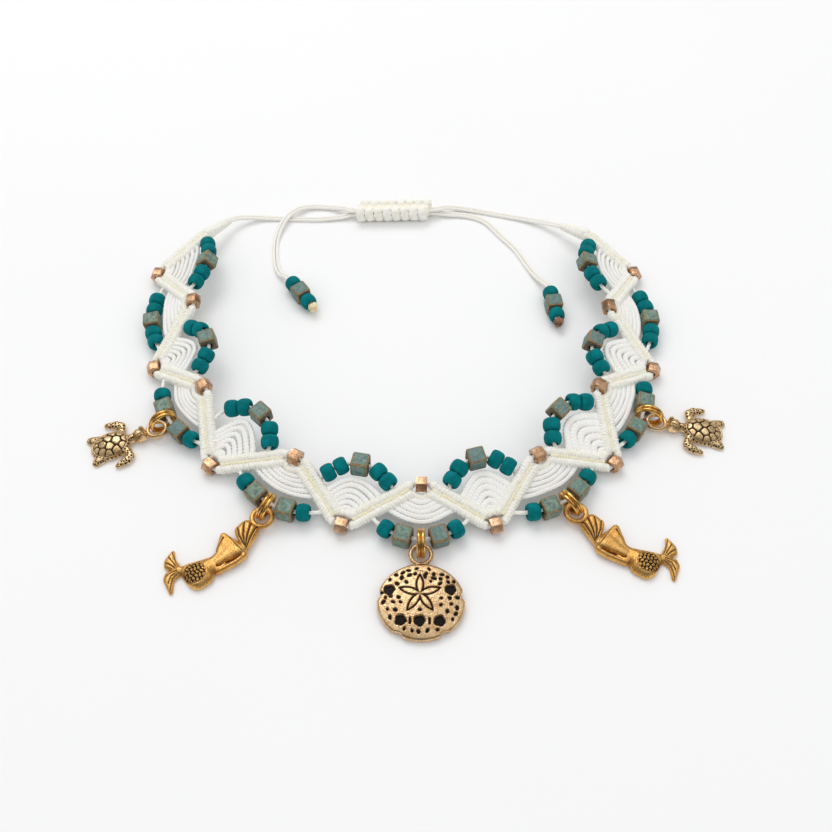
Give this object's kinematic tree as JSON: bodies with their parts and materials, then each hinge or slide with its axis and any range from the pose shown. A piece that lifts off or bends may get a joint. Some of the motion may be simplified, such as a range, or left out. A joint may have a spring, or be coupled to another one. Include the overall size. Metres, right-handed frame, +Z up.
{
  "type": "macrame anklet with charms",
  "caption": "Cream macrame wave anklet with teal and patina cube beads, copper corner beads, cast sea charms on jump rings and a drawstring with a sliding knot.",
  "frame": {"origin": "centre of the box of the anklet without its drawcords and tails, on the surface it lies on", "axes": "+X to the viewer's right along the long side, +Y away from the viewer toward the sliding knot, +Z up"},
  "size_m": [0.1391, 0.1209, 0.0101],
  "materials": {
    "band_cord": "twisted polyester cord, knotted, matt",
    "copper": "hex-cut copper-plated metal, bright",
    "teal_glass": "frosted opaque teal glass, satin",
    "patina_cube": "matt grey-green patina with worn bronze edges",
    "ring_gold": "antique gold plate, polished",
    "antique_gold": "antique gold plate with black recesses",
    "drawcord": "waxed cream cord, satin",
    "knot_cord": "waxed cream cord, wrapped",
    "melted_end_cream": "melted cord end, waxy",
    "melted_end_brown": "scorched melted cord end"
  },
  "bodies": {
    "root": {"macrame_band": "band_cord", "copper_beads_outer": "copper", "copper_beads_inner": "copper", "teal_beads_1": "teal_glass", "teal_beads_2": "teal_glass", "teal_beads_3": "teal_glass", "teal_beads_4": "teal_glass", "teal_beads_5": "teal_glass", "teal_beads_6": "teal_glass", "teal_beads_7": "teal_glass", "teal_beads_8": "teal_glass", "teal_beads_9": "teal_glass", "teal_beads_10": "teal_glass", "teal_beads_11": "teal_glass", "teal_beads_12": "teal_glass", "teal_beads_13": "teal_glass", "teal_beads_14": "teal_glass", "teal_beads_15": "teal_glass", "cube_bead_1": "patina_cube", "cube_bead_2": "patina_cube", "cube_bead_3": "patina_cube", "cube_bead_4a": "patina_cube", "cube_bead_4b": "patina_cube", "cube_bead_5": "patina_cube", "cube_bead_6a": "patina_cube", "cube_bead_6b": "patina_cube", "cube_bead_7": "patina_cube", "cube_bead_8a": "patina_cube", "cube_bead_8b": "patina_cube", "cube_bead_9": "patina_cube", "cube_bead_10a": "patina_cube", "cube_bead_10b": "patina_cube", "cube_bead_11": "patina_cube", "cube_bead_12a": "patina_cube", "cube_bead_12b": "patina_cube", "cube_bead_13": "patina_cube", "cube_bead_14": "patina_cube", "cube_bead_15": "patina_cube", "jump_ring_turtle_left": "ring_gold", "jump_ring_mermaid_left": "ring_gold", "jump_ring_sand_dollar": "ring_gold", "jump_ring_mermaid_right": "ring_gold", "jump_ring_turtle_right": "ring_gold", "turtle_charm_left": "antique_gold", "mermaid_charm_left": "antique_gold", "sand_dollar_charm": "antique_gold", "mermaid_charm_right": "antique_gold", "turtle_charm_right": "antique_gold", "drawcord_left_a": "drawcord", "drawcord_left_b": "drawcord", "drawcord_right_a": "drawcord", "drawcord_right_b": "drawcord", "sliding_knot": "knot_cord", "tail_teal_left": "teal_glass", "tail_cube_left": "patina_cube", "tail_end_left": "melted_end_cream", "tail_teal_right": "teal_glass", "tail_cube_right": "patina_cube", "tail_end_right": "melted_end_brown"}
  },
  "joints": []
}
